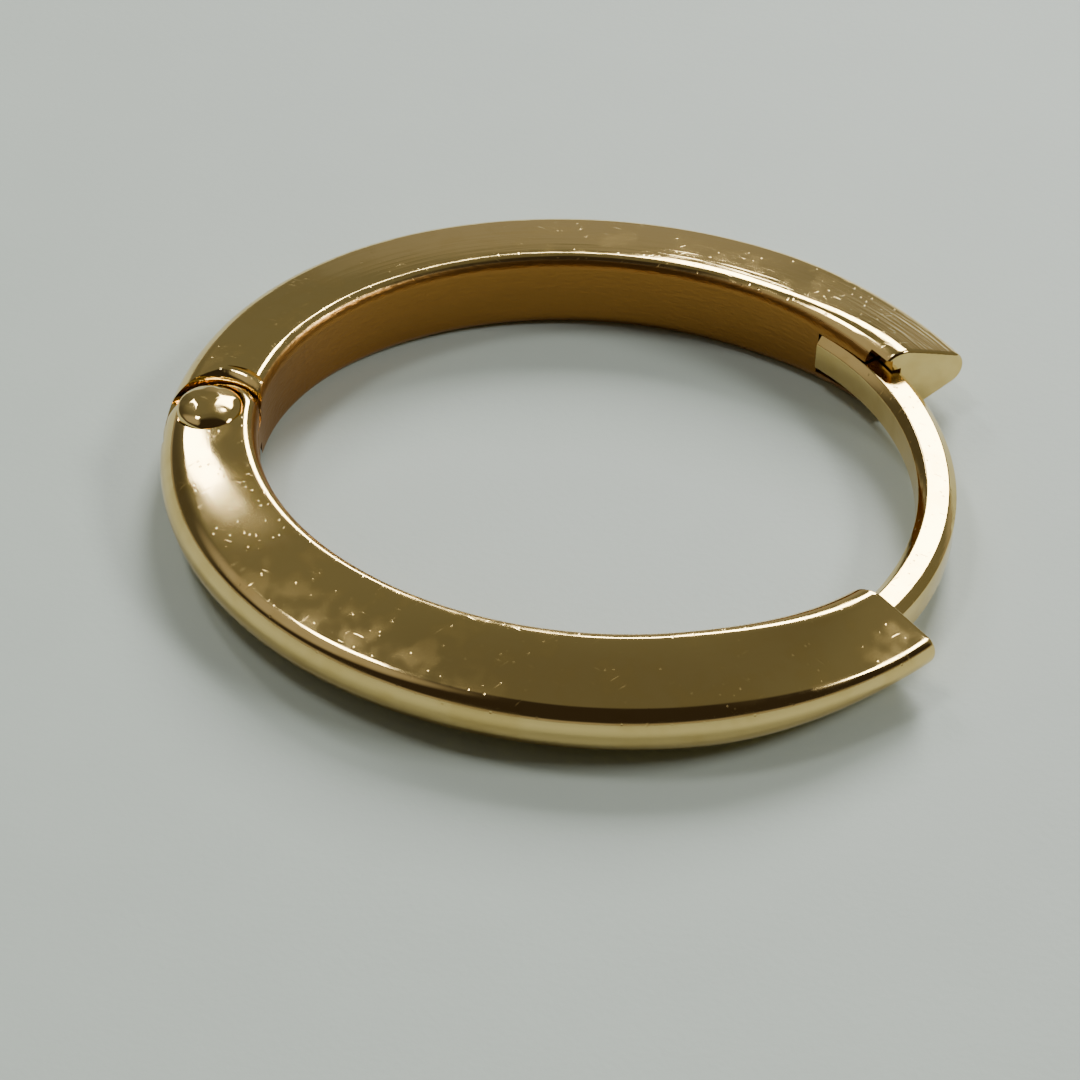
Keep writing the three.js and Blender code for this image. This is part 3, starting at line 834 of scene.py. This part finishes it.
def table_top(look):
    """White laminate: matt, a little green, with a faint mottle and a fine tooth from its press plate."""
    material, tree = new_material("white_laminate")
    point = add_node(tree, "ShaderNodeTexCoord").outputs["Object"]
    # The mottle keeps the table from looking like paper
    mottle = [("Vector", point), ("Scale", 1 / (MOTTLE_WIDTH * MM)), ("Detail", 5.0), ("Roughness", 0.6)]
    mottle = add_node(tree, NOISE, mottle).outputs["Fac"]
    # The tooth spreads the gold's faint reflections
    tooth = [("Vector", point), ("Scale", 1 / (TOOTH_WIDTH * MM)), ("Detail", 2.0)]
    tooth = add_node(tree, NOISE, tooth).outputs["Fac"]
    dark, pale = ([c * s for c in look.table[:3]] + [1.0] for s in (0.95, 1.04))
    shade = [(0, mottle), (COLOR_A, dark), (COLOR_B, pale)]
    shade = add_node(tree, MIX, shade, data_type="RGBA").outputs[COLOR_OUT]
    bump = add_node(tree, "ShaderNodeBump", [("Strength", 1.0), ("Distance", 4 * MICRON), ("Height", tooth)])
    finish = [("Base Color", shade), ("Roughness", 0.55), ("Normal", bump.outputs["Normal"])]
    shader = add_node(tree, "ShaderNodeBsdfPrincipled", finish)
    add_node(tree, "ShaderNodeOutputMaterial", [("Surface", shader.outputs["BSDF"])])
    return material


# Operators


class EARRING_OT_front_half(bpy.types.Operator):
    """Front half of the hoop, with the knuckle's cheeks and the slot for the post's tip"""

    bl_idname = "earring.front_half"
    bl_label = "Front half"

    def execute(self, context):
        hoop, hinge, post = context.scene.hoop, context.scene.hinge, context.scene.post
        metal = gold("buffed_gold", scuff=(-6.6, -3.1, 1.7), satin_wall=True)
        half = new_object("front_half_gold", bar_mesh(hoop, hinge, -1), metal)
        _, _, tip, _ = post_facts(hoop, post)
        first = tip - post.slot_end_gap / post.bow_radius
        outer = post.bow_radius + post.width / 2 + post.slot_gap
        slot = post_slot(hoop, post, outer, first, first + FRONT_SLOT_RUN, 0.0)
        cut_away(half, [pin_room(hoop, hinge), tongue_slot(hoop, hinge), slot], metal)
        finished(half, "front", ["front_half"])
        return {"FINISHED"}


class EARRING_OT_back_half(bpy.types.Operator):
    """Back half of the hoop, with the tongue, its rounded seats and the slot for the post's root"""

    bl_idname = "earring.back_half"
    bl_label = "Back half"

    def execute(self, context):
        hoop, hinge, post = context.scene.hoop, context.scene.hinge, context.scene.post
        metal = gold("streaked_gold", scuff=(5.2, 5.6, 1.6), satin_wall=True, streaking=6.5)
        half = new_object("back_half_gold", bar_mesh(hoop, hinge, 1), metal)
        center, root, _, _ = post_facts(hoop, post)
        first = root + post.slot_gap / post.bow_radius
        outer = post.bow_radius + post.width / 2 - post.solder_depth
        slot = post_slot(hoop, post, outer, first, first - BACK_SLOT_RUN, 0.0)
        corner = bar_point(hoop, np.array(math.radians(BACK_END)), 0.0, 0.0)[:2] - center
        end, inner = math.atan2(corner[1], corner[0]), float(np.hypot(*corner))
        mouth = (inner + post.mouth_depth, end + post.mouth_length / inner, end - BEYOND_END, post.mouth_rise)
        seats = [cheek_seat(hoop, hinge, above) for above in (True, False)]
        cut_away(half, [slot, post_slot(hoop, post, *mouth), *seats, pin_bore(hoop, hinge)], metal)
        finished(half, "back", ["back_half"])
        return {"FINISHED"}


class EARRING_OT_post(bpy.types.Operator):
    """Curved post, soldered into the back half"""

    bl_idname = "earring.post"
    bl_label = "Post"

    def execute(self, context):
        metal = gold("drawn_gold", scuff=(6.6, 3.4, 2.0), streaking=2.5)
        strip = new_object("closing_post", post_mesh(context.scene.hoop, context.scene.post), metal)
        finished(strip, "back")
        return {"FINISHED"}


class EARRING_OT_pin(bpy.types.Operator):
    """Hinge pin, with a domed head and a flat foot"""

    bl_idname = "earring.pin"
    bl_label = "Hinge pin"

    def execute(self, context):
        metal = gold("hammered_gold", scuff=(-7.2, -0.3, 0.2), hammered=True)
        pin = new_object("rivet_pin", pin_mesh(context.scene.hoop, context.scene.hinge), metal)
        finished(pin, "front", ["hinge_pin"])
        return {"FINISHED"}


class EARRING_OT_stage(bpy.types.Operator):
    """Pale table, soft light and the camera"""

    bl_idname = "earring.stage"
    bl_label = "Stage"

    def execute(self, context):
        table_plane(context.scene.stage_look)
        soft_light()
        photo_camera()
        return {"FINISHED"}


# Half the table's side, in metres
TABLE_HALF = 1.5


def table_plane(look):
    """A large flat square under the earring."""
    corners = [[-TABLE_HALF, -TABLE_HALF, 0], [TABLE_HALF, -TABLE_HALF, 0]]
    corners += [[TABLE_HALF, TABLE_HALF, 0], [-TABLE_HALF, TABLE_HALF, 0]]
    mesh = bpy.data.meshes.new("table")
    mesh.from_pydata(corners, [], [[0, 1, 2, 3]])
    mesh.materials.append(table_top(look))
    table = bpy.data.objects.new("table", mesh)
    bpy.context.scene.collection.objects.link(table)


# Softboxes as the earring sees them: turn, rise, width and height in degrees, then radiance
SOFTBOXES = {
    "back_softbox": (83.0, 36.0, 17.0, 28.0, 20.0),
    "back_left_softbox": (127.5, 39.5, 6.0, 13.0, 20.0),
    "left_softbox": (164.0, 66.0, 12.0, 9.0, 20.0),
    "right_softbox": (5.0, 43.0, 20.0, 11.0, 20.0),
}
# How far off they stand, in metres
LIGHT_DISTANCE = 0.35

# Directions from the earring to the pale back wall and to the window
TO_BACK_WALL, TO_WINDOW = (-0.09, 0.98, 0.17), (-0.683, -0.183, 0.707)


def softbox(name, turn, rise, width, height, radiance):
    """A soft rectangular light that faces the earring.

    A side is twice the distance times the tangent of half its angle, and the power is the radiance times pi
    times the area.
    """
    away = Vector((math.cos(rise) * math.cos(turn), math.cos(rise) * math.sin(turn), math.sin(rise)))
    data = bpy.data.lights.new(name, "AREA")
    data.shape = "RECTANGLE"
    data.size = 2 * LIGHT_DISTANCE * math.tan(width / 2)
    data.size_y = 2 * LIGHT_DISTANCE * math.tan(height / 2)
    data.energy = radiance * math.pi * data.size * data.size_y
    lamp = bpy.data.objects.new(name, data)
    lamp.location = away * LIGHT_DISTANCE
    lamp.rotation_euler = away.to_track_quat("Z", "Y").to_euler()
    bpy.context.scene.collection.objects.link(lamp)


def soft_light():
    """Softboxes in a dim room, darker in front, on the left and overhead.

    The room is paler at the horizon and on the back wall, and a window glows softly at the front left. Each
    share of the direction runs smoothly from its first value to its last.
    """
    for name, (*angles, radiance) in SOFTBOXES.items():
        softbox(name, *(math.radians(a) for a in angles), radiance)
    world = bpy.data.worlds.new("room")
    bpy.context.scene.world = world
    world.use_nodes = True
    tree = world.node_tree
    direction = add_node(tree, "ShaderNodeTexCoord").outputs["Generated"]
    axes = add_node(tree, "ShaderNodeSeparateXYZ", [("Vector", direction)]).outputs
    toward = []
    for place in (TO_BACK_WALL, TO_WINDOW):
        dot = add_node(tree, VECTOR_MATH, [(0, direction), (1, place)], operation="DOT_PRODUCT")
        toward.append(dot.outputs["Value"])
    shares = []
    for value, low, high, first, last in (
        (axes["Y"], -0.12, 0.1, 0.0, 1.0),
        (axes["X"], -0.8, -0.45, 0.35, 1.0),
        (axes["Z"], 0.84, 0.97, 1.0, 0.75),
        (axes["Z"], 0.04, 0.13, 1.0, 0.0),
        (toward[0], 0.965, 1.0, 0.0, 0.9),
        (toward[1], 0.84, 0.97, 0.0, 1.0),
    ):
        ends = [("From Min", low), ("From Max", high), ("To Min", first), ("To Max", last)]
        share = add_node(tree, RANGE, [("Value", value), *ends], interpolation_type="SMOOTHSTEP")
        shares.append(share.outputs["Result"])
    behind, right, low, horizon, back_wall, window = shares
    lit = behind
    for share in (right, low):
        lit = add_node(tree, MATH, [(0, lit), (1, share)], operation="MULTIPLY").outputs[0]
    color = linear("#342E29")
    for share, tone in (
        (lit, linear("#76766A")),
        (horizon, linear("#9E9B92")),
        (back_wall, linear("#9E9B92")),
        (window, [0.42, 0.4, 0.36, 1.0]),
    ):
        color = [(0, share), (COLOR_A, color), (COLOR_B, tone)]
        color = add_node(tree, MIX, color, data_type="RGBA").outputs[COLOR_OUT]
    tree.links.new(color, tree.nodes["Background"].inputs["Color"])


# The camera, from the photograph: turns in radians, distance and offsets in millimetres
CAMERA_TURN, CAMERA_RISE, CAMERA_ROLL = -0.10119, 0.76024, -0.03695
CAMERA_DISTANCE, CAMERA_ACROSS, CAMERA_UP = 85.1017, 1.0979, 0.811
# Its focal length and the photograph's width in pixels, and its sensor's width in millimetres
FOCAL_PIXELS, PHOTO_PIXELS, SENSOR_WIDTH = 4075.147, 1080.0, 36.0


def photo_camera():
    """The camera at the photograph's viewing angle.

    Its view is a turn about the upright, then a tip by its rise, then a roll. It stands where the oval's
    centre lies at the offsets and the distance in that view.
    """
    turn = Matrix.Rotation(CAMERA_TURN, 3, "Z")
    s, c = math.sin(CAMERA_RISE), math.cos(CAMERA_RISE)
    rise = Matrix(((1, 0, 0), (0, s, c), (0, c, -s)))
    roll = Matrix.Rotation(CAMERA_ROLL, 3, "Z")
    view = roll @ rise @ turn
    offset = Vector((CAMERA_ACROSS, CAMERA_UP, CAMERA_DISTANCE)) * MM
    place = -(view.transposed() @ offset) + Vector(world_shift())
    data = bpy.data.cameras.new("photo_camera")
    data.sensor_width = SENSOR_WIDTH
    data.lens = FOCAL_PIXELS / PHOTO_PIXELS * SENSOR_WIDTH
    data.clip_start = MM
    camera = bpy.data.objects.new("photo_camera", data)
    axes = Matrix((view[0], view[1], -view[2])).transposed()
    camera.matrix_world = Matrix.Translation(place) @ axes.to_4x4()
    bpy.context.scene.collection.objects.link(camera)
    bpy.context.scene.camera = camera


class EARRING_PT_panel(bpy.types.Panel):
    """Lists the earring's pieces"""

    bl_label = "Earring"
    bl_idname = "EARRING_PT_panel"
    bl_space_type = "VIEW_3D"
    bl_region_type = "UI"
    bl_category = "Earring"

    def draw(self, context):
        for operator in OPERATORS:
            self.layout.operator(operator.bl_idname)
        for group in GROUPS:
            settings = getattr(context.scene, group)
            box = self.layout.box()
            for name in settings.bl_rna.properties.keys():
                if name not in ("rna_type", "name"):
                    box.prop(settings, name)


GROUPS = {
    "hoop": HoopSizes,
    "hinge": HingeSizes,
    "post": PostSizes,
    "gold": GoldLook,
    "stage_look": StageLook,
}
OPERATORS = (
    EARRING_OT_front_half,
    EARRING_OT_back_half,
    EARRING_OT_post,
    EARRING_OT_pin,
    EARRING_OT_stage,
)


def register():
    """Registers the sizes, looks, operators and panel."""
    for name, group in GROUPS.items():
        bpy.utils.register_class(group)
        setattr(bpy.types.Scene, name, PointerProperty(type=group))
    for operator in (*OPERATORS, EARRING_PT_panel):
        bpy.utils.register_class(operator)


def unregister():
    """Takes away what register added."""
    for operator in (EARRING_PT_panel, *reversed(OPERATORS)):
        bpy.utils.unregister_class(operator)
    for name, group in reversed(GROUPS.items()):
        delattr(bpy.types.Scene, name)
        bpy.utils.unregister_class(group)


def main():
    """Makes every piece and the stage."""
    register()
    bpy.ops.earring.front_half()
    bpy.ops.earring.back_half()
    bpy.ops.earring.post()
    bpy.ops.earring.pin()
    bpy.ops.earring.stage()


if __name__ == "__main__":
    main()
